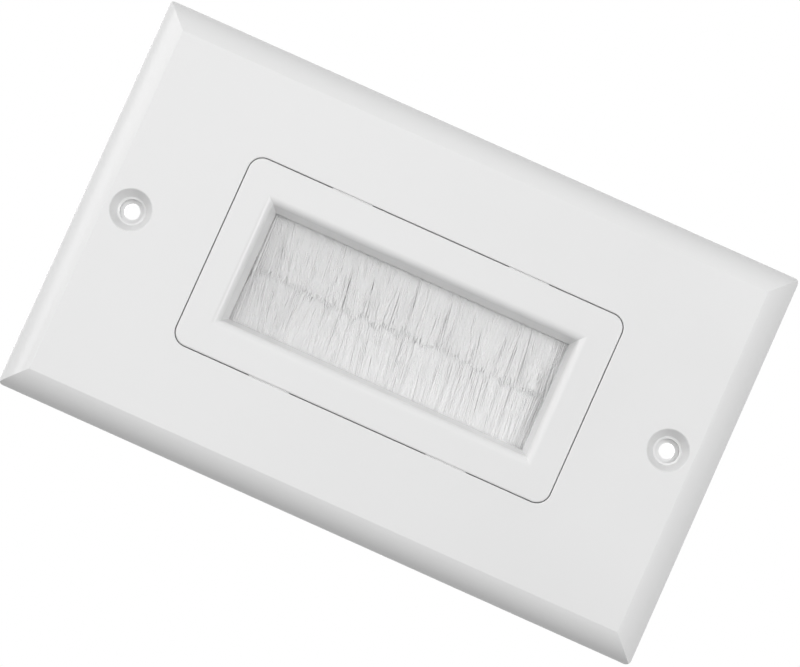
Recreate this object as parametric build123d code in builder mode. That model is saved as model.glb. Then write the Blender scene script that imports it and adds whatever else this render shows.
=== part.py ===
"""Single-gang wall plate with a brush insert that cables pass through.

The frame is that of the mounted plate: +Z up its long side, the face towards -Y, the wall
plane at Y = 0 and the origin at its centre. Heights are counted from the wall towards the
face, so what is sunk into the wall box has negative heights.
"""
import os
from math import atan2, cos, radians, sin, tan
from random import Random

from build123d import *

# Wall plate
plate_width = 69.85
plate_height = 114.3
plate_rise = 5.6  # face above the wall
plate_wall = 2.2
rim_land = 1.3  # upright band round the rim
bevel_width = 4.3
bevel_radius = 6.1
plate_corner = 1.0
face_edge_round = 0.2

# Opening in the plate, and the skirt behind it
fit_gap = 0.13  # between the insert and the opening, each side
side_border = 18.075  # plate beside the insert
end_border = 23.55  # plate above and below the insert
skirt_wall = 1.4

# Plate screws: a dished hole in the plate over a tapped hole in the strap
plate_screw_edge = 8.73  # from the end of the plate to each screw
dish_radius = 3.45
dish_chamfer = 0.15
dish_foot_radius = 2.38
dish_depth = 2.3
dish_foot_drop = 0.15  # from the foot of the dish to the screw bore
screw_bore_radius = 2.03
boss_radius = 4.6
tapped_radius = 1.33

# Strap of the insert
strap_thickness = 1.6
strap_clearance = 0.1  # between the strap and what stands on it
flange_reach = 2.25  # past the insert's body, all round
ear_width = 24.0
ear_overhang = 4.58  # past each plate screw
ear_corner = 4.0
screw_pitch = 6.75  # from each plate screw to the box screw inside it
box_screw_radius = 2.2

# Insert
insert_corner = 2.4
insert_wall = 1.7
insert_edge_round = 0.3
body_cover = 0.6  # body past the back of the retainer
window_side_border = 7.285  # insert beside the window
window_end_border = 7.025
window_level = 1.1  # height of the window's sharp edge
lip_draft = 14.0
lip_round = 1.4
lip_wall = 1.5
rib_wall = 1.2
seat_count = 4
pad_width = 7.2
pad_spacing = 31.8
pad_drop = 0.35  # top of a locating pad, below the face
pad_clearance = 0.02

# Brush strips
strip_overrun = 1.0  # channel beyond the window, each end
channel_depth = 4.2
channel_base = 3.4  # across the closed back of the channel
mouth_pinch = 0.1  # how far each leg leans in at the mouth
channel_sheet = 0.5
channel_bend = 0.8
channel_clearance = 0.1
wire_radius = 0.55
packing_clearance = 0.05

# Bristle rows
rows_gap = 0.61  # between the rows where they pass, as one leans forward and one back
row_end_gap = 0.12
row_inset = 0.13  # between the layers and the fold that they leave
layer_count = 3
layer_gap = 0.14
tuft_count = 66
tuft_root_share = 0.96
tuft_tip_share = 0.5
tufts_per_clump = (3, 6)
clump_lean = 5.0
clump_pull = 0.25
tip_cut = 0.2
tip_scatter = 0.5
root_bury = 0.4  # how far the tufts start inside the channel's mouth
right_past_middle = (-0.3, 0.9)  # how far past the middle the clumps of the front row end
left_past_middle = (1.4, 2.8)
row_seed = 11

# Retainer
retainer_thickness = 1.8
retainer_clearance = 0.1
retainer_window_margin = 0.5
retainer_corner = 1.0
hook_spacing = 12.0
hook_width = 4.0
hook_thickness = 1.2
hook_reach = 1.1
hook_height = 1.4
hook_rim_gap = 0.225  # between a hook's tip and the retainer's rim
hook_side_gap = 0.2
rim_wall = 1.0
rim_rise = 0.8

# Sizes that follow from those above
insert_width = plate_width - 2 * side_border
insert_height = plate_height - 2 * end_border
window_width = insert_width - 2 * window_side_border
window_height = insert_height - 2 * window_end_border
plate_screw_spacing = plate_height - 2 * plate_screw_edge
box_screw_spacing = plate_screw_spacing - 2 * screw_pitch
seat_depth = dish_depth + dish_foot_drop
opening_width = insert_width + 2 * fit_gap
opening_height = insert_height + 2 * fit_gap
opening_corner = insert_corner + fit_gap
skirt_foot = strap_thickness + strap_clearance
plate_ceiling = plate_rise - plate_wall
cavity_width = insert_width - 2 * insert_wall
cavity_height = insert_height - 2 * insert_wall
cavity_corner = insert_corner - insert_wall
insert_ceiling = plate_rise - insert_wall
strip_length = window_height + 2 * strip_overrun
seat_spacing = strip_length / seat_count
channel_mouth = channel_base - 2 * mouth_pinch
channel_front = window_level - packing_clearance
channel_level = channel_front - channel_base / 2
channel_back_x = cavity_width / 2 - channel_clearance
mouth_x = channel_back_x - channel_depth
fold_radius = channel_mouth / 2 - channel_sheet - packing_clearance
wire_x = channel_back_x - channel_sheet - packing_clearance - fold_radius
retainer_front = channel_front - channel_base - packing_clearance
retainer_back = retainer_front - retainer_thickness
body_depth = body_cover - retainer_back
rim_width = window_width + 2 * (retainer_window_margin + rim_wall)
rim_height = window_height + 2 * (retainer_window_margin + rim_wall)
hook_face_z = rim_height / 2 + hook_rim_gap + hook_reach
hook_catch = -retainer_back + packing_clearance  # where each hook's face bears, behind the retainer
hook_tip = hook_catch + hook_height
notch_depth = (cavity_height - 2 * hook_face_z) / 2 + hook_side_gap
notch_middle_z = cavity_height / 2 - notch_depth / 2
row_length = window_height - 2 * row_end_gap
row_thickness = 2 * (fold_radius - row_inset)
row_lean = atan2((row_thickness + rows_gap) / 2, mouth_x)
layer_pitch = (row_thickness + layer_gap) / layer_count
ends = (-1, 1)

os.makedirs("parts", exist_ok=True)

# Sketch plane that looks at a section along the long side: its x axis is Z and its y axis is Y
along_plane = Plane(origin=(0, 0, 0), x_dir=(0, 0, 1), z_dir=(-1, 0, 0))


def bevelled_section(plane, half_width, rise, land, bevel, radius):
    """Domed section: an upright land, a convex bevel and a flat top."""
    with BuildSketch(plane) as section:
        with BuildLine():
            foot = Line((0, 0), (half_width, 0))
            side = Line(foot @ 1, (half_width, -land))
            bevel_arc = RadiusArc(side @ 1, (half_width - bevel, -rise), radius)
            top = Line(bevel_arc @ 1, (0, -rise))
            Line(top @ 1, foot @ 0)
        make_face()
        mirror(about=Plane.YZ)
    return section.sketch


def funnel_section(plane, half_width, low, high, draft, round_radius):
    """Section of the lip's inside: a drafted wall that rounds over to the front face."""
    corner_x = half_width + (high - low) * tan(radians(draft))
    tangent = round_radius * tan(radians((90 - draft) / 2))
    round_start = (corner_x - tangent * sin(radians(draft)), tangent * cos(radians(draft)) - high)
    with BuildSketch(plane) as section:
        with BuildLine():
            foot = Line((0, -low), (half_width, -low))
            wall = Line(foot @ 1, round_start)
            turn = TangentArc(wall @ 1, (corner_x + tangent, -high), tangent=wall % 1)
            top = Line(turn @ 1, (0, -high))
            Line(top @ 1, foot @ 0)
        make_face()
        mirror(about=Plane.YZ)
    return section.sketch


def crossed_block(section, width, height, *shape):
    """Block with the same section both ways, so that its corners are mitred."""
    with BuildPart() as block:
        extrude(section(Plane.XY, width / 2, *shape), amount=height, both=True)
        extrude(section(along_plane, height / 2, *shape), amount=height, both=True,
                mode=Mode.INTERSECT)
    return block.part


bevel_scale = (bevel_radius - plate_wall) / bevel_radius
inner_bevel = bevel_width * bevel_scale
plate_shell = crossed_block(bevelled_section, plate_width, plate_height,
                            plate_rise, rim_land, bevel_width, bevel_radius)
plate_hollow = crossed_block(bevelled_section, plate_width - 2 * plate_wall, plate_height - 2 * plate_wall,
                             plate_ceiling, plate_ceiling - (plate_rise - rim_land) * bevel_scale,
                             inner_bevel, bevel_radius - plate_wall)

with BuildPart() as wall_plate:
    # Domed shell with rounded corners
    add(plate_shell)
    fillet(wall_plate.edges().filter_by(Axis.Y), radius=plate_corner)
    add(plate_hollow, mode=Mode.SUBTRACT)
    # Skirt round the opening, screw bosses, and a rib from each boss to the skirt
    with BuildSketch(Plane.XZ.offset(skirt_foot)):
        RectangleRounded(opening_width + 2 * skirt_wall, opening_height + 2 * skirt_wall,
                         opening_corner + skirt_wall)
        with GridLocations(0, plate_screw_spacing, 1, 2):
            Circle(boss_radius)
        Rectangle(rib_wall, plate_screw_spacing)
    extrude(amount=plate_rise - plate_wall / 2 - skirt_foot)
    with BuildSketch(Plane.XZ):
        RectangleRounded(opening_width, opening_height, opening_corner)
    extrude(amount=plate_rise, mode=Mode.SUBTRACT)
    fillet(wall_plate.faces().sort_by(Axis.Y)[0].inner_wires().edges(), radius=face_edge_round)
    # Dished screw holes
    for end in ends:
        screw_z = end * plate_screw_spacing / 2
        with BuildSketch(Plane.XY.offset(screw_z)):
            with BuildLine():
                Polyline((0, -plate_rise), (dish_radius + dish_chamfer, -plate_rise),
                         (dish_radius, dish_chamfer - plate_rise),
                         (dish_foot_radius, dish_depth - plate_rise),
                         (screw_bore_radius, seat_depth - plate_rise),
                         (screw_bore_radius, 0), (0, 0), close=True)
            make_face()
        revolve(axis=Axis((0, 0, screw_z), (0, 1, 0)), mode=Mode.SUBTRACT)

funnel = crossed_block(funnel_section, window_width, window_height,
                       window_level, plate_rise, lip_draft, lip_round)

with BuildPart() as insert_frame:
    # Body with a hollow back, and the strap it is carried by
    with BuildSketch(Plane.XZ.offset(-body_depth)):
        RectangleRounded(insert_width, insert_height, insert_corner)
    extrude(amount=body_depth + plate_rise)
    fillet(insert_frame.faces().sort_by(Axis.Y)[0].edges(), radius=insert_edge_round)
    with BuildSketch(Plane.XZ):
        RectangleRounded(insert_width + 2 * flange_reach, insert_height + 2 * flange_reach, ear_corner)
        RectangleRounded(ear_width, plate_screw_spacing + 2 * ear_overhang, ear_corner)
    extrude(amount=strap_thickness)
    with BuildSketch(Plane.XZ.offset(-body_depth)):
        RectangleRounded(cavity_width, cavity_height, cavity_corner)
    extrude(amount=body_depth + insert_ceiling, mode=Mode.SUBTRACT)
    # Wall of the lip, cut through by the funnel that leads in to the window
    with BuildSketch(Plane.XZ.offset(window_level)):
        Rectangle(window_width + 2 * lip_wall, window_height + 2 * lip_wall)
    extrude(amount=plate_rise - insert_wall / 2 - window_level, taper=-lip_draft)
    add(funnel, mode=Mode.SUBTRACT)
    # Locating pads on the long sides
    with BuildSketch(Plane.XZ.offset(skirt_foot)):
        with GridLocations(0, pad_spacing, 1, 2):
            Rectangle(opening_width - 2 * pad_clearance, pad_width)
        Rectangle(cavity_width, insert_height, mode=Mode.SUBTRACT)
    extrude(amount=plate_rise - pad_drop - skirt_foot)
    # Screw holes of the strap
    with BuildSketch(Plane.XZ):
        with GridLocations(0, box_screw_spacing, 1, 2):
            Circle(box_screw_radius)
        with GridLocations(0, plate_screw_spacing, 1, 2):
            Circle(tapped_radius)
    extrude(amount=strap_thickness, mode=Mode.SUBTRACT)
    # Ribs that seat the channels, and walls that stop them lengthwise
    for side in ends:
        seat_x = side * (mouth_x + channel_back_x) / 2
        with BuildSketch(Plane.XZ.offset(window_level)):
            with Locations((seat_x, 0)):
                with GridLocations(0, seat_spacing, 1, seat_count):
                    Rectangle(channel_depth + channel_clearance, rib_wall)
        extrude(amount=insert_ceiling - window_level)
        with BuildSketch(Plane.XZ.offset(channel_level)):
            with Locations((seat_x, 0)):
                with GridLocations(0, strip_length + 2 * packing_clearance + rib_wall, 1, 2):
                    Rectangle(channel_depth + channel_clearance, rib_wall)
        extrude(amount=insert_ceiling - channel_level)
    # Hooks that hold the retainer
    for end in ends:
        for hook_x in (-hook_spacing / 2, hook_spacing / 2):
            with BuildSketch(Plane.YZ.offset(hook_x - hook_width / 2)):
                with BuildLine():
                    Polyline((-insert_ceiling, end * (hook_face_z + hook_thickness)),
                             (hook_tip, end * (hook_face_z + hook_thickness)),
                             (hook_tip, end * hook_face_z),
                             (hook_catch + hook_height / 3, end * (hook_face_z - hook_reach)),
                             (hook_catch, end * (hook_face_z - hook_reach)),
                             (hook_catch, end * hook_face_z),
                             (-insert_ceiling, end * hook_face_z), close=True)
                make_face()
            extrude(amount=hook_width)

with BuildPart() as brush_retainer:
    with BuildSketch(Plane.XZ.offset(retainer_back)):
        RectangleRounded(cavity_width - 2 * retainer_clearance, cavity_height - 2 * retainer_clearance,
                         retainer_corner)
        Rectangle(window_width + 2 * retainer_window_margin, window_height + 2 * retainer_window_margin,
                  mode=Mode.SUBTRACT)
        with GridLocations(hook_spacing, 2 * notch_middle_z, 2, 2):
            Rectangle(hook_width + 2 * hook_side_gap, notch_depth, mode=Mode.SUBTRACT)
    extrude(amount=retainer_thickness)
    # Raised rim round the window
    with BuildSketch(Plane.XZ.offset(retainer_back)):
        Rectangle(rim_width, rim_height)
        Rectangle(rim_width - 2 * rim_wall, rim_height - 2 * rim_wall, mode=Mode.SUBTRACT)
    extrude(amount=-rim_rise)


def channel_section(plane):
    """Folded sheet: a closed back, and two legs that pinch in towards the mouth."""
    with BuildSketch(plane) as section:
        with BuildLine():
            back = channel_depth - channel_sheet / 2
            base = (channel_base - channel_sheet) / 2
            mouth = (channel_mouth - channel_sheet) / 2
            FilletPolyline((0, -mouth), (back, -base), (back, base), (0, mouth), radius=channel_bend)
        trace(line_width=channel_sheet)
    return section.sketch


def tuft_outlines(randomness, past_middle):
    """Corners of the tufts of one layer, gathered into leaning clumps of like length."""
    pitch = row_length / tuft_count
    half_root = pitch * tuft_root_share / 2
    half_tip = half_root * tuft_tip_share
    tip_limit = row_length / 2 - half_tip
    outlines = []
    while len(outlines) < tuft_count:
        first = len(outlines)
        clump = min(randomness.randint(*tufts_per_clump), tuft_count - first)
        clump_middle = (first + clump / 2) * pitch - row_length / 2
        clump_slope = tan(radians(randomness.uniform(-clump_lean, clump_lean)))
        clump_reach = mouth_x + randomness.uniform(*past_middle)
        for place in range(first, first + clump):
            root = (place + 0.5) * pitch - row_length / 2
            reach = clump_reach - randomness.uniform(0, tip_scatter)
            slant = randomness.uniform(-tip_cut, tip_cut)
            tip = root + (clump_middle - root) * clump_pull + clump_slope * reach
            tip = max(-tip_limit, min(tip_limit, tip))
            outlines.append(((-root_bury, root - half_root), (reach - slant, tip - half_tip),
                             (reach + slant, tip + half_tip), (-root_bury, root + half_root)))
    return outlines


def bristle_layer(plane, randomness, past_middle):
    """One layer of a row: tapered tufts side by side, each cut at its own slant."""
    tufts = [Polygon(*outline, align=None) for outline in tuft_outlines(randomness, past_middle)]
    with BuildSketch(plane) as layer:
        add(tufts)
    return layer.sketch


randomness = Random(row_seed)
for side, side_name, past_middle in ((1, "right", right_past_middle), (-1, "left", left_past_middle)):
    strip_plane = Plane(origin=(side * mouth_x, -channel_level, -strip_length / 2), x_dir=(side, 0, 0))
    channel_profile = channel_section(strip_plane)
    with BuildPart() as brush_channel:
        extrude(channel_profile, amount=strip_length)
    brush_channel.part.label = f"{side_name}_brush_channel"

    with BuildPart() as brush_wire:
        with BuildSketch(Plane.XY.offset(-strip_length / 2)):
            with Locations((side * wire_x, -channel_level)):
                Circle(wire_radius)
        extrude(amount=strip_length)
    brush_wire.part.label = f"{side_name}_brush_wire"

    row_plane = Plane(origin=(side * mouth_x, -channel_level, 0),
                      x_dir=(-side * cos(row_lean), -side * sin(row_lean), 0),
                      z_dir=(-side * sin(row_lean), side * cos(row_lean), 0))
    layers = [bristle_layer(row_plane.offset((place - (layer_count - 1) / 2) * layer_pitch),
                            randomness, past_middle)
              for place in range(layer_count)]
    with BuildPart() as bristles:
        # Fold round the wire, inside the channel
        with BuildSketch(Plane.XY.offset(-row_length / 2)):
            with Locations((side * wire_x, -channel_level)):
                Circle(fold_radius)
            with Locations((side * (wire_x + mouth_x) / 2, -channel_level)):
                Rectangle(wire_x - mouth_x, 2 * fold_radius)
            with Locations((side * wire_x, -channel_level)):
                Circle(wire_radius, mode=Mode.SUBTRACT)
        extrude(amount=row_length)
        for layer in layers:
            extrude(layer, amount=(layer_pitch - layer_gap) / 2, both=True)
    bristles.part.label = f"{side_name}_bristles"

    for piece in (brush_channel, brush_wire, bristles):
        export_step(piece.part, f"parts/{piece.part.label}.step")

wall_plate.part.label = "wall_plate"
insert_frame.part.label = "insert_frame"
brush_retainer.part.label = "brush_retainer"
for piece in (wall_plate, insert_frame, brush_retainer):
    export_step(piece.part, f"parts/{piece.part.label}.step")
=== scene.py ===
"""Looks of the brush wall plate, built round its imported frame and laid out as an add-on.

Every object is in metres and in the frame of the part: +Z up the plate's long side, the face
towards -Y and the wall plane at Y = 0.
"""

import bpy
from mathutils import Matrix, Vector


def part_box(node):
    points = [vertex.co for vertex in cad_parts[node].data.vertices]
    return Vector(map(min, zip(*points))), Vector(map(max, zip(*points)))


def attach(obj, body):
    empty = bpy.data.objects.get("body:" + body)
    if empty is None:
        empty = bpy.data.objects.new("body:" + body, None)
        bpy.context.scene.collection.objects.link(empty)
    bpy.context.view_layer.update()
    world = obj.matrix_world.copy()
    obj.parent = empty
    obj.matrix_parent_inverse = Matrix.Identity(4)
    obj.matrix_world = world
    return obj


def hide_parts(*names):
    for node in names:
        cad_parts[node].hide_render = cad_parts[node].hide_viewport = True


bl_info = {
    "name": "Brush Wall Plate",
    "version": (1, 0, 0),
    "blender": (4, 5, 0),
    "location": "3D View > Sidebar > Wall Plate",
    "description": "Moulded plastics, folded channels and filament rows of a brush wall plate",
    "category": "Object",
}

import random
from math import cos, pi, radians, sin, tan

import bpy
from bpy.props import FloatProperty, FloatVectorProperty, IntProperty, PointerProperty
from bpy.types import Operator, Panel, PropertyGroup
from mathutils import Quaternion, Vector

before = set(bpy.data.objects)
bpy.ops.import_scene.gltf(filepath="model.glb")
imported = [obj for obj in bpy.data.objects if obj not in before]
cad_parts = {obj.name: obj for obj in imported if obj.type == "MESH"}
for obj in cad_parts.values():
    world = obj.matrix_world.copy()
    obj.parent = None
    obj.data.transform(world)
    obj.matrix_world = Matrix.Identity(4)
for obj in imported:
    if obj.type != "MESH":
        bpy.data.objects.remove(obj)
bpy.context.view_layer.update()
plate_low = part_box("wall_plate")[0]

BODY = "root"
SIDES = ("right", "left")
MILLIMETRE = 0.001
WHITE = (1, 1, 1, 1)
MIX_FIRST, MIX_SECOND, MIX_RESULT = 6, 7, 2  # a Mix node's sockets for colours

# Finishes. A pattern darkens its colour down to a share and changes its roughness by so much.
PLASTIC_IOR, NYLON_IOR = 1.5, 1.53
NOISE_LOW, NOISE_HIGH = 0.3, 0.7  # most values of a noise texture lie between these
MOTTLE_SCALE, MOTTLE_DARKEST, MOTTLE_ROUGHNESS = 38.0, 0.985, 0.03
LINE_STRETCH = (1.0, 1.0, 0.02)  # lines run along the strips, which lie along Z
LINE_DARKEST, LINE_ROUGHNESS = 0.86, -0.06  # a dark line is rougher
STREAK_STRETCH = (0.05, 1.0, 1.0)  # streaks run along the filaments, which lie along X
STREAK_SCALE, STREAK_SHARE, STREAK_ROUGHNESS = 1200.0, 0.25, 0.06

# Filament rows, with lengths in millimetres.
CLUMP_LENGTHS = (0.4, 2.2)  # shortest and longest clump
CLUMP_TONES = (0, 0.6)
FILAMENT_TONES = (-0.1, 0.5)  # what a filament's tone adds to that of its clump
GATHER_SHARES = (0.1, 1)  # how much of the gather setting a clump takes
LAYER_PACKING = 1.5  # power by which the layers lie closer together towards the outside
FIRST_LAYER, LAYERS_DEPTH, LAYER_SCATTER = 0.08, 0.76, 0.04  # off the middle of the row
FIRST_FOLD, FOLDS_DEPTH = 0.05, 0.34  # off the core wire
BOW = 0.08  # how far a leg typically bends aside
LEG_STEPS = (0, 0.5, 0.996, 1)  # so short a last step keeps the end's shading off the leg
TUBE_SIDES = 3

# Places and stage, in metres unless the name says otherwise.
LIP_LEVEL = -0.0011  # Y of the sharp edge round the window, where the brush goes under the lip
SENSOR_WIDTH_MM = 36
CLIP_NEAR, CLIP_FAR = 0.01, 20
FLOOR_CORNERS = 128


class PlasticSettings(PropertyGroup):
    """Finish of the three white mouldings."""

    plate_colour: FloatVectorProperty(
        name="Plate Colour", description="White of the wall plate",
        subtype="COLOR", size=3, min=0, max=1, default=(0.86, 0.86, 0.86))
    insert_colour: FloatVectorProperty(
        name="Insert Colour", description="White of the insert",
        subtype="COLOR", size=3, min=0, max=1, default=(0.86, 0.86, 0.86))
    retainer_colour: FloatVectorProperty(
        name="Retainer Colour", description="White of the retainer behind the brush",
        subtype="COLOR", size=3, min=0, max=1, default=(0.84, 0.84, 0.84))
    gloss_roughness: FloatProperty(
        name="Gloss Roughness", description="Roughness of the polished faces",
        subtype="FACTOR", min=0, max=1, default=0.24)
    retainer_roughness: FloatProperty(
        name="Retainer Roughness", description="Roughness of the plain moulded retainer",
        subtype="FACTOR", min=0, max=1, default=0.5)
    ripple_size: FloatProperty(
        name="Ripple Size", description="Size of the faint ripples that moulding leaves",
        subtype="DISTANCE", unit="LENGTH", min=0.0001, max=0.02, default=0.0032)
    ripple_depth: FloatProperty(
        name="Ripple Depth", description="Height of the moulding ripples",
        subtype="DISTANCE", unit="LENGTH", min=0, max=0.0005, default=0.000004)


class MetalSettings(PropertyGroup):
    """Finish of the folded channels and the core wires."""

    channel_colour: FloatVectorProperty(
        name="Channel Colour", description="Colour of the folded sheet",
        subtype="COLOR", size=3, min=0, max=1, default=(0.72, 0.73, 0.74))
    channel_roughness: FloatProperty(
        name="Channel Roughness", description="Roughness of the folded sheet",
        subtype="FACTOR", min=0, max=1, default=0.38)
    wire_colour: FloatVectorProperty(
        name="Wire Colour", description="Colour of the drawn core wire",
        subtype="COLOR", size=3, min=0, max=1, default=(0.55, 0.56, 0.57))
    wire_roughness: FloatProperty(
        name="Wire Roughness", description="Roughness of the drawn core wire",
        subtype="FACTOR", min=0, max=1, default=0.3)
    grain_size: FloatProperty(
        name="Grain Size", description="Width of the rolling and drawing lines",
        subtype="DISTANCE", unit="LENGTH", min=0.00001, max=0.005, default=0.00012)
    grain_depth: FloatProperty(
        name="Grain Depth", description="Height of the rolling and drawing lines",
        subtype="DISTANCE", unit="LENGTH", min=0, max=0.0002, default=0.000003)


class FilamentSettings(PropertyGroup):
    """Shape and finish of the two filament rows."""

    light_colour: FloatVectorProperty(
        name="Light Colour", description="Lightest filaments",
        subtype="COLOR", size=3, min=0, max=1, default=(1.0, 1.0, 1.0))
    deep_colour: FloatVectorProperty(
        name="Deep Colour", description="Darkest filaments",
        subtype="COLOR", size=3, min=0, max=1, default=(0.975, 0.975, 0.977))
    roughness: FloatProperty(
        name="Roughness", description="Roughness of the nylon",
        subtype="FACTOR", min=0, max=1, default=0.42)
    sheen: FloatProperty(
        name="Sheen", description="Soft light that the fine filaments catch along their edges",
        subtype="FACTOR", min=0, max=1, default=0.2)
    diameter: FloatProperty(
        name="Diameter", description="Diameter of one filament",
        subtype="DISTANCE", unit="LENGTH", min=0.00005, max=0.001, default=0.00015)
    spacing: FloatProperty(
        name="Spacing", description="Distance between neighbours of one layer",
        subtype="DISTANCE", unit="LENGTH", min=0.00005, max=0.002, default=0.0001)
    layer_pairs: IntProperty(
        name="Layer Pairs", description="Layers in front of the core wire, with as many behind it",
        min=1, max=12, default=5)
    row_lean: FloatProperty(
        name="Row Lean", description="How far one row leans forward and the other back",
        subtype="ANGLE", unit="ROTATION", min=0, max=0.5, default=radians(0.9))
    tip_thinning: FloatProperty(
        name="Tip Thinning", description="Share of its thickness that a row loses towards the tips",
        subtype="FACTOR", min=0, max=0.9, default=0.75)
    side_lean: FloatProperty(
        name="Side Lean", description="Mean lean of the filaments along their row",
        subtype="ANGLE", unit="ROTATION", min=-0.5, max=0.5, default=radians(5.5))
    sway: FloatProperty(
        name="Sway", description="How much the lean changes slowly along a row",
        subtype="ANGLE", unit="ROTATION", min=0, max=0.5, default=radians(4.5))
    sway_length: FloatProperty(
        name="Sway Length", description="Distance along a row over which the lean changes",
        subtype="DISTANCE", unit="LENGTH", min=0.001, default=0.0062)
    end_ease: FloatProperty(
        name="End Ease", description="Distance from a row's ends over which the lean fades",
        subtype="DISTANCE", unit="LENGTH", min=0.0005, default=0.0035)
    clump_lean: FloatProperty(
        name="Clump Lean", description="How much neighbouring clumps differ in lean",
        subtype="ANGLE", unit="ROTATION", min=0, max=0.5, default=radians(2.0))
    stray_lean: FloatProperty(
        name="Stray Lean", description="How much neighbouring filaments differ in lean",
        subtype="ANGLE", unit="ROTATION", min=0, max=0.5, default=radians(0.8))
    front_past_middle: FloatProperty(
        name="Front Past Middle", description="How far the front row reaches past the middle",
        subtype="DISTANCE", unit="LENGTH", default=0.0007)
    back_past_middle: FloatProperty(
        name="Back Past Middle", description="How far the back row reaches past the middle",
        subtype="DISTANCE", unit="LENGTH", default=0.0021)
    tip_wave: FloatProperty(
        name="Tip Wave", description="How far the line of the tips wanders along a row",
        subtype="DISTANCE", unit="LENGTH", min=0, max=0.005, default=0.00045)
    clump_cut: FloatProperty(
        name="Clump Cut", description="How much neighbouring clumps differ in length",
        subtype="DISTANCE", unit="LENGTH", min=0, max=0.005, default=0.0007)
    point_cut: FloatProperty(
        name="Point Cut", description="How much shorter a clump is at its sides",
        subtype="DISTANCE", unit="LENGTH", min=0, max=0.005, default=0.0009)
    gather: FloatProperty(
        name="Gather", description="Share by which a clump may draw together at its tips",
        subtype="FACTOR", min=0, max=0.95, default=0.85)
    tip_scatter: FloatProperty(
        name="Tip Scatter", description="Unevenness of the cut tips within a clump",
        subtype="DISTANCE", unit="LENGTH", min=0, max=0.005, default=0.0013)
    seed: IntProperty(
        name="Seed", description="Seed of the filaments' randomness", min=0, default=7)


class StageSettings(PropertyGroup):
    """Camera, lights and floor."""

    camera_place: FloatVectorProperty(
        name="Camera Place", description="Where the camera stands",
        subtype="TRANSLATION", unit="LENGTH", size=3, default=(-0.03518, -0.62805, -0.01271))
    camera_aim: FloatVectorProperty(
        name="Camera Aim", description="Point of the face at the centre of the picture",
        subtype="TRANSLATION", unit="LENGTH", size=3, default=(-0.000486, -0.0056, -0.000373))
    camera_roll: FloatProperty(
        name="Camera Roll", description="Turn of the camera about its line of sight",
        subtype="ANGLE", unit="ROTATION", default=radians(-65.89))
    camera_lens: FloatProperty(
        name="Camera Lens", description="Focal length on a 36 mm sensor",
        subtype="DISTANCE_CAMERA", unit="CAMERA", min=1, default=170.69)
    floor_drop: FloatProperty(
        name="Floor Drop", description="Height of the part above the floor",
        subtype="DISTANCE", unit="LENGTH", min=0.01, default=0.6)
    floor_radius: FloatProperty(
        name="Floor Radius", description="Radius of the round floor",
        subtype="DISTANCE", unit="LENGTH", min=0.5, default=2.2)
    floor_colour: FloatVectorProperty(
        name="Floor Colour", description="Colour of the pale floor",
        subtype="COLOR", size=3, min=0, max=1, default=(0.9, 0.9, 0.9))
    floor_roughness: FloatProperty(
        name="Floor Roughness", description="Roughness of the floor",
        subtype="FACTOR", min=0, max=1, default=0.9)
    floor_glow: FloatProperty(
        name="Floor Glow", description="Glow of the floor that only the camera and reflections see",
        subtype="FACTOR", min=0, max=1, default=0.68)
    fill_level: FloatProperty(
        name="Fill Level", description="Even light from all round",
        min=0, max=2, default=0.22)
    front_place: FloatVectorProperty(
        name="Front Place", description="Where the light before the face stands",
        subtype="TRANSLATION", unit="LENGTH", size=3, default=(0.024, -0.498, 0.231))
    front_power: FloatProperty(
        name="Front Power", description="Power of the large soft light before the face",
        subtype="POWER", unit="POWER", min=0, default=1.1)
    high_place: FloatVectorProperty(
        name="High Place", description="Where the light above the plate stands",
        subtype="TRANSLATION", unit="LENGTH", size=3, default=(0.189, -0.142, 0.496))
    high_power: FloatProperty(
        name="High Power", description="Power of the large soft light above the plate",
        subtype="POWER", unit="POWER", min=0, default=1.35)
    low_place: FloatVectorProperty(
        name="Low Place", description="Where the light below the plate stands",
        subtype="TRANSLATION", unit="LENGTH", size=3, default=(0.094, -0.377, -0.226))
    low_power: FloatProperty(
        name="Low Power", description="Power of the small light below the plate",
        subtype="POWER", unit="POWER", min=0, default=0.7)
    back_place: FloatVectorProperty(
        name="Back Place", description="Where the light behind the plate stands",
        subtype="TRANSLATION", unit="LENGTH", size=3, default=(0.0, 0.55, 0.12))
    back_power: FloatProperty(
        name="Back Power", description="Power of the large soft light behind the plate",
        subtype="POWER", unit="POWER", min=0, default=1.9)
    large_size: FloatProperty(
        name="Large Size", description="Side of each large soft light",
        subtype="DISTANCE", unit="LENGTH", min=0.05, default=0.5)
    small_size: FloatProperty(
        name="Small Size", description="Side of the small light",
        subtype="DISTANCE", unit="LENGTH", min=0.05, default=0.2)


class WallPlateSettings(PropertyGroup):
    """All the settings of the brush wall plate."""

    plastic: PointerProperty(type=PlasticSettings)
    metal: PointerProperty(type=MetalSettings)
    filament: PointerProperty(type=FilamentSettings)
    stage: PointerProperty(type=StageSettings)


def add_node(tree, kind, inputs=None, **fields):
    """Adds a node, sets its fields, and feeds its inputs with values or with other sockets."""
    node = tree.nodes.new(kind)
    for name, value in fields.items():
        setattr(node, name, value)
    for key, value in (inputs or {}).items():
        socket = node.inputs[key]
        if isinstance(value, bpy.types.NodeSocket):
            tree.links.new(value, socket)
        else:
            socket.default_value = value
    return node


def start_material(name):
    """New material with its node tree and its shader."""
    material = bpy.data.materials.new(name)
    material.use_nodes = True
    return material, material.node_tree, material.node_tree.nodes["Principled BSDF"]


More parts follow.
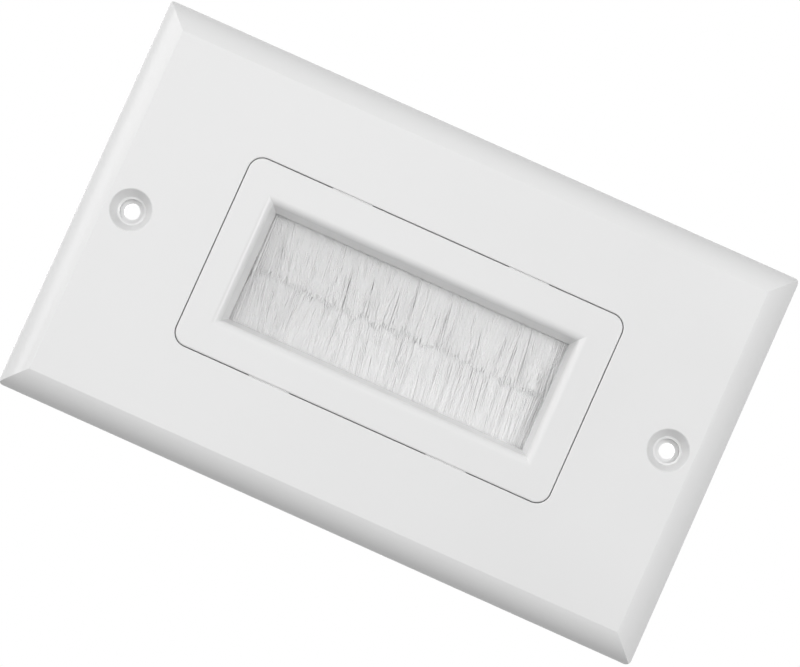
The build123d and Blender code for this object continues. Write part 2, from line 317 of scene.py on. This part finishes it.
def start_finish_group(name, roughness, scale_name, scale):
    """Starts a group that makes a finish of a colour, a roughness and the scale of a pattern.

    Gives the tree and the sockets that feed and leave it.
    """
    tree = bpy.data.node_groups.new(name, "ShaderNodeTree")
    for socket, kind, value in (("Colour", "NodeSocketColor", WHITE),
                                ("Roughness", "NodeSocketFloat", roughness),
                                (scale_name, "NodeSocketFloat", scale)):
        made = tree.interface.new_socket(socket, in_out="INPUT", socket_type=kind)
        made.default_value = value
    for socket, kind in (("Colour", "NodeSocketColor"), ("Roughness", "NodeSocketFloat"),
                         ("Height", "NodeSocketFloat")):
        tree.interface.new_socket(socket, in_out="OUTPUT", socket_type=kind)
    return tree, tree.nodes.new("NodeGroupInput").outputs, tree.nodes.new("NodeGroupOutput").inputs


def add_pattern(tree, given, out, noise, darkest, rougher):
    """Lets a noise darken the given colour down to a share and change the given roughness."""
    def spread(least, most):
        return add_node(tree, "ShaderNodeMapRange", {
            "Value": noise.outputs["Fac"], "From Min": NOISE_LOW, "From Max": NOISE_HIGH,
            "To Min": least, "To Max": most}).outputs["Result"]

    colour = add_node(tree, "ShaderNodeVectorMath", {
        0: given["Colour"], "Scale": spread(darkest, 1.0)}, operation="SCALE")
    roughness = add_node(tree, "ShaderNodeMath", {
        0: given["Roughness"], 1: spread(-rougher, rougher)}, operation="ADD")
    tree.links.new(colour.outputs["Vector"], out["Colour"])
    tree.links.new(roughness.outputs["Value"], out["Roughness"])


def moulded_skin_group():
    """Faint ripples and a slight mottle, as a polished mould leaves them."""
    name = "Moulded Skin"
    if name in bpy.data.node_groups:
        return bpy.data.node_groups[name]
    tree, given, out = start_finish_group(name, 0.3, "Ripple Scale", 300.0)
    place = add_node(tree, "ShaderNodeTexCoord").outputs["Object"]
    ripples = add_node(tree, "ShaderNodeTexNoise", {
        "Vector": place, "Scale": given["Ripple Scale"], "Detail": 2.0, "Roughness": 0.45})
    mottle = add_node(tree, "ShaderNodeTexNoise", {
        "Vector": place, "Scale": MOTTLE_SCALE, "Detail": 3.0, "Roughness": 0.5})
    add_pattern(tree, given, out, mottle, MOTTLE_DARKEST, MOTTLE_ROUGHNESS)
    tree.links.new(ripples.outputs["Fac"], out["Height"])
    return tree


def drawn_grain_group():
    """Fine lines along the length of the strips, as rolling and drawing leave them."""
    name = "Drawn Grain"
    if name in bpy.data.node_groups:
        return bpy.data.node_groups[name]
    tree, given, out = start_finish_group(name, 0.35, "Line Scale", 8000.0)
    place = add_node(tree, "ShaderNodeTexCoord").outputs["Object"]
    stretched = add_node(tree, "ShaderNodeVectorMath", {
        0: place, 1: LINE_STRETCH}, operation="MULTIPLY")
    lines = add_node(tree, "ShaderNodeTexNoise", {
        "Vector": stretched.outputs["Vector"], "Scale": given["Line Scale"], "Detail": 3.0})
    add_pattern(tree, given, out, lines, LINE_DARKEST, LINE_ROUGHNESS)
    tree.links.new(lines.outputs["Fac"], out["Height"])
    return tree


def surface_material(name, group, colour, roughness, scale_input, scale, depth, **constants):
    """Material whose colour, roughness and bump come from one finish group."""
    material, tree, shader = start_material(name)
    for socket, value in constants.items():
        shader.inputs[socket].default_value = value
    finish = add_node(tree, "ShaderNodeGroup", node_tree=group)
    finish.inputs["Colour"].default_value = (*colour, 1)
    finish.inputs["Roughness"].default_value = roughness
    finish.inputs[scale_input].default_value = scale
    bump = add_node(tree, "ShaderNodeBump", {
        "Strength": 1.0, "Distance": depth, "Height": finish.outputs["Height"]})
    tree.links.new(finish.outputs["Colour"], shader.inputs["Base Color"])
    tree.links.new(finish.outputs["Roughness"], shader.inputs["Roughness"])
    tree.links.new(bump.outputs["Normal"], shader.inputs["Normal"])
    return material


def moulded_plastic(name, colour, roughness, settings):
    """White moulded plastic."""
    return surface_material(
        name, moulded_skin_group(), colour, roughness, "Ripple Scale", 1 / settings.ripple_size,
        settings.ripple_depth, IOR=PLASTIC_IOR)


def drawn_metal(name, colour, roughness, settings):
    """Bare metal with fine lines along the strip."""
    return surface_material(
        name, drawn_grain_group(), colour, roughness, "Line Scale", 1 / settings.grain_size,
        settings.grain_depth, Metallic=1.0)


def dress(node, material):
    """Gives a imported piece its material."""
    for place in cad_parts[node].material_slots:
        place.material = material


class WALLPLATE_OT_wall_plate(Operator):
    """Give the wall plate its polished white plastic"""

    bl_idname = "wall_plate.dress_plate"
    bl_label = "Wall Plate"

    def execute(self, context):
        settings = context.scene.wall_plate.plastic
        dress("wall_plate", moulded_plastic(
            "Plate Plastic", settings.plate_colour, settings.gloss_roughness, settings))
        return {"FINISHED"}


class WALLPLATE_OT_insert_frame(Operator):
    """Give the insert its polished white plastic"""

    bl_idname = "wall_plate.dress_insert"
    bl_label = "Insert"

    def execute(self, context):
        settings = context.scene.wall_plate.plastic
        dress("insert_frame", moulded_plastic(
            "Insert Plastic", settings.insert_colour, settings.gloss_roughness, settings))
        return {"FINISHED"}


class WALLPLATE_OT_brush_retainer(Operator):
    """Give the retainer its plain white plastic"""

    bl_idname = "wall_plate.dress_retainer"
    bl_label = "Retainer"

    def execute(self, context):
        settings = context.scene.wall_plate.plastic
        dress("brush_retainer", moulded_plastic(
            "Retainer Plastic", settings.retainer_colour, settings.retainer_roughness, settings))
        return {"FINISHED"}


class WALLPLATE_OT_brush_channels(Operator):
    """Give the two folded channels their rolled metal"""

    bl_idname = "wall_plate.dress_channels"
    bl_label = "Channels"

    def execute(self, context):
        settings = context.scene.wall_plate.metal
        material = drawn_metal(
            "Channel Metal", settings.channel_colour, settings.channel_roughness, settings)
        for side_name in SIDES:
            dress(f"{side_name}_brush_channel", material)
        return {"FINISHED"}


class WALLPLATE_OT_brush_wires(Operator):
    """Give the two core wires their drawn metal"""

    bl_idname = "wall_plate.dress_wires"
    bl_label = "Core Wires"

    def execute(self, context):
        settings = context.scene.wall_plate.metal
        material = drawn_metal(
            "Wire Metal", settings.wire_colour, settings.wire_roughness, settings)
        for side_name in SIDES:
            dress(f"{side_name}_brush_wire", material)
        return {"FINISHED"}


def nylon_material(settings):
    """White nylon whose tone changes from filament to filament, with streaks along each."""
    material, tree, shader = start_material("Nylon Filament")
    shader.inputs["IOR"].default_value = NYLON_IOR
    shader.inputs["Sheen Weight"].default_value = settings.sheen
    tone = add_node(tree, "ShaderNodeAttribute", attribute_name="tone")
    place = add_node(tree, "ShaderNodeTexCoord").outputs["Object"]
    stretched = add_node(tree, "ShaderNodeVectorMath", {
        0: place, 1: STREAK_STRETCH}, operation="MULTIPLY")
    streak = add_node(tree, "ShaderNodeTexNoise", {
        "Vector": stretched.outputs["Vector"], "Scale": STREAK_SCALE, "Detail": 2.0})
    blend = add_node(tree, "ShaderNodeMath", {
        0: streak.outputs["Fac"], 1: STREAK_SHARE, 2: tone.outputs["Fac"]},
        operation="MULTIPLY_ADD", use_clamp=True)
    colour = add_node(tree, "ShaderNodeMix", {
        "Factor": blend.outputs["Value"], MIX_FIRST: (*settings.deep_colour, 1),
        MIX_SECOND: (*settings.light_colour, 1)}, data_type="RGBA")
    roughness = add_node(tree, "ShaderNodeMapRange", {
        "Value": streak.outputs["Fac"], "To Min": settings.roughness - STREAK_ROUGHNESS,
        "To Max": settings.roughness + STREAK_ROUGHNESS})
    tree.links.new(colour.outputs[MIX_RESULT], shader.inputs["Base Color"])
    tree.links.new(roughness.outputs["Result"], shader.inputs["Roughness"])
    return material


class BrushRow:
    """Places of one filament row: a point is told by reach out of the channel, height and Z."""

    def __init__(self, side_name, side):
        self.side = side
        wire_low, wire_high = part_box(f"{side_name}_brush_wire")
        channel_low, channel_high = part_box(f"{side_name}_brush_channel")
        bristle_low, bristle_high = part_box(f"{side_name}_bristles")
        self.wire_radius = (wire_high.y - wire_low.y) / 2
        self.wire_x = abs(wire_low.x + wire_high.x) / 2
        self.level = (wire_low.y + wire_high.y) / 2
        self.mouth_x = min(abs(channel_low.x), abs(channel_high.x))
        self.half_length = (channel_high.z - channel_low.z) / 2
        self.window_half = (bristle_high.z - bristle_low.z) / 2

    def point(self, reach, height, z):
        """Point of the row: reach towards the middle, height towards the face."""
        return Vector((self.side * (self.mouth_x - reach), self.level - height, z))

    def turn(self, radius, z):
        """Points of a fold of that radius round the core wire, from the front to the back."""
        reach = self.mouth_x - self.wire_x
        return [self.point(reach + radius * cos(angle), radius * sin(angle), z)
                for angle in (pi / 2, pi, pi * 3 / 2)]

    def kept(self, height, z, margin):
        """Z held inside the window at the level of the lip, and inside the channel under it."""
        under_lip = self.level - height > LIP_LEVEL + margin
        edge = (self.half_length if under_lip else self.window_half) - margin
        return max(-edge, min(edge, z))


def slow_change(randomness, half_length, step):
    """Smooth random function of Z with values of about -1 to 1, one knot for each step."""
    count = int(2 * half_length / step) + 3  # one more than the far end needs
    knots = [randomness.uniform(-1, 1) for _ in range(count)]

    def value(z):
        place = (z + half_length) / step
        left = int(place)
        share = place - left
        share = share * share * (3 - 2 * share)
        return knots[left] * (1 - share) + knots[left + 1] * share
    return value


def clumps(randomness, half_length):
    """Stretches of a row whose filaments lean and end alike: (start, end) along Z."""
    start = -half_length
    while start < half_length:
        end = min(start + randomness.uniform(*CLUMP_LENGTHS) * MILLIMETRE, half_length)
        yield start, end
        start = end


def filament_leg(row, settings, randomness, depth, z, reach, lean, ease, row_lean, drawn):
    """Points of one leg of a filament from the channel to its tip.

    The depth is in millimetres towards the face, and drawn is how far the tip moves to its clump.
    """
    height = (depth + randomness.uniform(-LAYER_SCATTER, LAYER_SCATTER)) * MILLIMETRE
    length = reach - randomness.uniform(0, settings.tip_scatter)
    slope = tan(lean + randomness.gauss(0, settings.stray_lean) * ease)
    bow = randomness.gauss(0, BOW) * MILLIMETRE * ease
    leg = []
    for along in LEG_STEPS:
        out = length * along
        level = height * (1 - settings.tip_thinning * along) + tan(row_lean) * out
        aside = z + slope * out + bow * along ** 2 + drawn * along ** 2
        leg.append(row.point(out, level, row.kept(level, aside, settings.diameter)))
    return leg


def filament_paths(row, settings, randomness, past_middle, row_lean, side_lean):
    """Paths of a row's filaments, each folded round the core wire, with a tone for each."""
    sway = slow_change(randomness, row.half_length, settings.sway_length)
    wave = slow_change(randomness, row.half_length, settings.sway_length)
    paths = []
    for layer in range(settings.layer_pairs):
        share = 1 - (1 - layer / max(1, settings.layer_pairs - 1)) ** LAYER_PACKING
        depth = FIRST_LAYER + LAYERS_DEPTH * share
        off_wire = (FIRST_FOLD + FOLDS_DEPTH * share) * MILLIMETRE
        turn_radius = row.wire_radius + settings.diameter / 2 + off_wire
        for start, end in clumps(randomness, row.half_length - settings.diameter):
            clump_lean = side_lean + randomness.gauss(0, settings.clump_lean)
            clump_cut = randomness.uniform(-1, 1) * settings.clump_cut
            gather = randomness.uniform(*GATHER_SHARES) * settings.gather
            clump_tone = randomness.uniform(*CLUMP_TONES)
            middle = (start + end) / 2
            count = max(1, round((end - start) / settings.spacing))
            for place in range(count):
                z = start + (place + 0.5) * (end - start) / count
                ease = min(1, (row.half_length - abs(z)) / settings.end_ease)
                lean = (clump_lean + settings.sway * sway(z)) * ease
                aside = 2 * (z - middle) / (end - start)
                reach = row.mouth_x + past_middle + settings.tip_wave * wave(z) + clump_cut
                reach -= settings.point_cut * aside ** 2
                front, back = [
                    filament_leg(row, settings, randomness, face * depth, z, reach, lean, ease,
                                 row_lean, gather * (middle - z)) for face in (1, -1)]
                tone = min(1, max(0, clump_tone + randomness.uniform(*FILAMENT_TONES)))
                paths.append((front[::-1] + row.turn(turn_radius, z) + back, tone))
    return paths


def tube_mesh(name, paths, radius, across):
    """One mesh of thin closed tubes that follow the paths.

    Each has a flat side outwards, smooth shading along it and flat ends.
    """
    vertices, faces, smooth, tones = [], [], [], []
    ring = [(cos(angle), sin(angle))
            for angle in (2 * pi * k / TUBE_SIDES - pi / 2 for k in range(TUBE_SIDES))]
    for path, tone in paths:
        first, spans = len(vertices), len(path) - 1
        for i, point in enumerate(path):
            ahead = (path[min(i + 1, spans)] - path[max(i - 1, 0)]).normalized()
            width = (across - ahead * across.dot(ahead)).normalized()
            depth = ahead.cross(width)
            vertices += [point + (width * c + depth * s) * radius for c, s in ring]
            tones += [tone] * TUBE_SIDES
        for i in range(spans):
            here = first + i * TUBE_SIDES
            for k in range(TUBE_SIDES):
                near, far = here + k, here + (k + 1) % TUBE_SIDES
                faces.append((near, far, far + TUBE_SIDES, near + TUBE_SIDES))
                smooth.append(True)
        last = first + spans * TUBE_SIDES
        faces.append(tuple(range(first + TUBE_SIDES - 1, first - 1, -1)))
        faces.append(tuple(range(last, last + TUBE_SIDES)))
        smooth += [False, False]
    mesh = bpy.data.meshes.new(name)
    mesh.from_pydata(vertices, [], faces)
    mesh.attributes.new("tone", "FLOAT", "POINT").data.foreach_set("value", tones)
    mesh.polygons.foreach_set("use_smooth", smooth)
    mesh.update()
    return mesh


class WALLPLATE_OT_filament_rows(Operator):
    """Grow the two rows of fine filaments that close the window"""

    bl_idname = "wall_plate.grow_filaments"
    bl_label = "Filament Rows"

    def execute(self, context):
        settings = context.scene.wall_plate.filament
        material = nylon_material(settings)
        randomness = random.Random(settings.seed)
        rows = (("right", 1, settings.front_past_middle, settings.row_lean, -settings.side_lean),
                ("left", -1, settings.back_past_middle, -settings.row_lean, settings.side_lean))
        for side_name, side, past_middle, row_lean, side_lean in rows:
            name = f"{side_name}_filaments"
            row = BrushRow(side_name, side)
            paths = filament_paths(row, settings, randomness, past_middle, row_lean, side_lean)
            mesh = tube_mesh(name, paths, settings.diameter / 2, Vector((0, 0, side)))
            mesh.materials.append(material)
            piece = bpy.data.objects.new(name, mesh)
            context.scene.collection.objects.link(piece)
            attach(piece, BODY)
            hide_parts(f"{side_name}_bristles")
        return {"FINISHED"}


def add_looking(scene, name, data, place, aim, roll):
    """Adds a camera or a light that looks from place to aim, turned by roll."""
    look = (Vector(aim) - Vector(place)).to_track_quat("-Z", "Y")
    made = bpy.data.objects.new(name, data)
    made.rotation_mode = "QUATERNION"
    made.location = place
    made.rotation_quaternion = look @ Quaternion((0, 0, 1), roll)
    scene.collection.objects.link(made)
    return made


def add_camera(scene, settings):
    """Camera of the photograph's view."""
    data = bpy.data.cameras.new("Camera")
    data.sensor_width = SENSOR_WIDTH_MM
    data.lens = settings.camera_lens
    data.clip_start = CLIP_NEAR
    data.clip_end = CLIP_FAR
    scene.camera = add_looking(
        scene, "Camera", data, settings.camera_place, settings.camera_aim, settings.camera_roll)


def add_area_light(scene, name, place, size, power):
    """Square soft light that faces the part."""
    data = bpy.data.lights.new(name, "AREA")
    data.shape = "SQUARE"
    data.size = size
    data.energy = power
    add_looking(scene, name, data, place, (0, 0, 0), 0)


def seen_rays(tree):
    """Mask of the rays that show the surround: of the camera, reflections and clear pieces."""
    rays = add_node(tree, "ShaderNodeLightPath").outputs
    seen = add_node(tree, "ShaderNodeMath", {
        0: rays["Is Camera Ray"], 1: rays["Is Glossy Ray"]}, operation="MAXIMUM")
    seen = add_node(tree, "ShaderNodeMath", {
        0: seen.outputs["Value"], 1: rays["Is Transmission Ray"]}, operation="MAXIMUM")
    return seen.outputs["Value"]


def set_world(scene, level):
    """Even fill light, with a white surround for what the camera and reflections see."""
    world = bpy.data.worlds.new("Studio")
    world.use_nodes = True
    tree = world.node_tree
    tree.nodes.clear()
    fill = add_node(tree, "ShaderNodeBackground", {"Color": WHITE, "Strength": level})
    white = add_node(tree, "ShaderNodeBackground", {"Color": WHITE, "Strength": 1.0})
    both = add_node(tree, "ShaderNodeMixShader", {
        0: seen_rays(tree), 1: fill.outputs["Background"], 2: white.outputs["Background"]})
    add_node(tree, "ShaderNodeOutputWorld", {"Surface": both.outputs["Shader"]})
    scene.world = world


def add_floor(scene, settings):
    """Plain pale round floor well below the part."""
    height = plate_low.z - settings.floor_drop
    rim = [(settings.floor_radius * cos(angle), settings.floor_radius * sin(angle), height)
           for angle in (2 * pi * k / FLOOR_CORNERS for k in range(FLOOR_CORNERS))]
    mesh = bpy.data.meshes.new("studio_floor")
    mesh.from_pydata(rim, [], [range(FLOOR_CORNERS)])
    material, tree, shader = start_material("Floor")
    shader.inputs["Base Color"].default_value = (*settings.floor_colour, 1)
    shader.inputs["Roughness"].default_value = settings.floor_roughness
    shader.inputs["Emission Color"].default_value = WHITE
    glow = add_node(tree, "ShaderNodeMath", {
        0: seen_rays(tree), 1: settings.floor_glow}, operation="MULTIPLY")
    tree.links.new(glow.outputs["Value"], shader.inputs["Emission Strength"])
    mesh.materials.append(material)
    floor = bpy.data.objects.new("studio_floor", mesh)
    scene.collection.objects.link(floor)


class WALLPLATE_OT_stage(Operator):
    """Set the camera, the soft lights, the white surround and the floor"""

    bl_idname = "wall_plate.set_stage"
    bl_label = "Stage"

    def execute(self, context):
        scene = context.scene
        settings = scene.wall_plate.stage
        scene.view_settings.view_transform = "Standard"
        add_camera(scene, settings)
        large, small = settings.large_size, settings.small_size
        for name, place, size, power in (
                ("Front Light", settings.front_place, large, settings.front_power),
                ("High Light", settings.high_place, large, settings.high_power),
                ("Low Light", settings.low_place, small, settings.low_power),
                ("Back Light", settings.back_place, large, settings.back_power)):
            add_area_light(scene, name, place, size, power)
        set_world(scene, settings.fill_level)
        add_floor(scene, settings)
        return {"FINISHED"}


class WALLPLATE_PT_sidebar(Panel):
    """Settings and steps of the brush wall plate"""

    bl_idname = "WALLPLATE_PT_sidebar"
    bl_label = "Brush Wall Plate"
    bl_space_type = "VIEW_3D"
    bl_region_type = "UI"
    bl_category = "Wall Plate"

    def draw(self, context):
        settings = context.scene.wall_plate
        for operator in OPERATORS:
            self.layout.operator(operator.bl_idname)
        for part in ("plastic", "metal", "filament", "stage"):
            box = self.layout.box()
            box.label(text=part.capitalize())
            group = getattr(settings, part)
            for name in group.bl_rna.properties.keys():
                if name not in ("rna_type", "name"):
                    box.prop(group, name)


OPERATORS = (
    WALLPLATE_OT_wall_plate,
    WALLPLATE_OT_insert_frame,
    WALLPLATE_OT_brush_retainer,
    WALLPLATE_OT_brush_channels,
    WALLPLATE_OT_brush_wires,
    WALLPLATE_OT_filament_rows,
    WALLPLATE_OT_stage,
)
CLASSES = (PlasticSettings, MetalSettings, FilamentSettings, StageSettings, WallPlateSettings,
           *OPERATORS, WALLPLATE_PT_sidebar)


def register():
    """Registers the classes and gives each scene its settings."""
    for made in CLASSES:
        bpy.utils.register_class(made)
    bpy.types.Scene.wall_plate = PointerProperty(type=WallPlateSettings)


def unregister():
    """Takes the settings and the classes away again."""
    del bpy.types.Scene.wall_plate
    for made in reversed(CLASSES):
        bpy.utils.unregister_class(made)


def main():
    """Registers the add-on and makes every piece."""
    register()
    for operator in OPERATORS:
        family, name = operator.bl_idname.split(".")
        getattr(getattr(bpy.ops, family), name)()


if __name__ == "__main__":
    main()
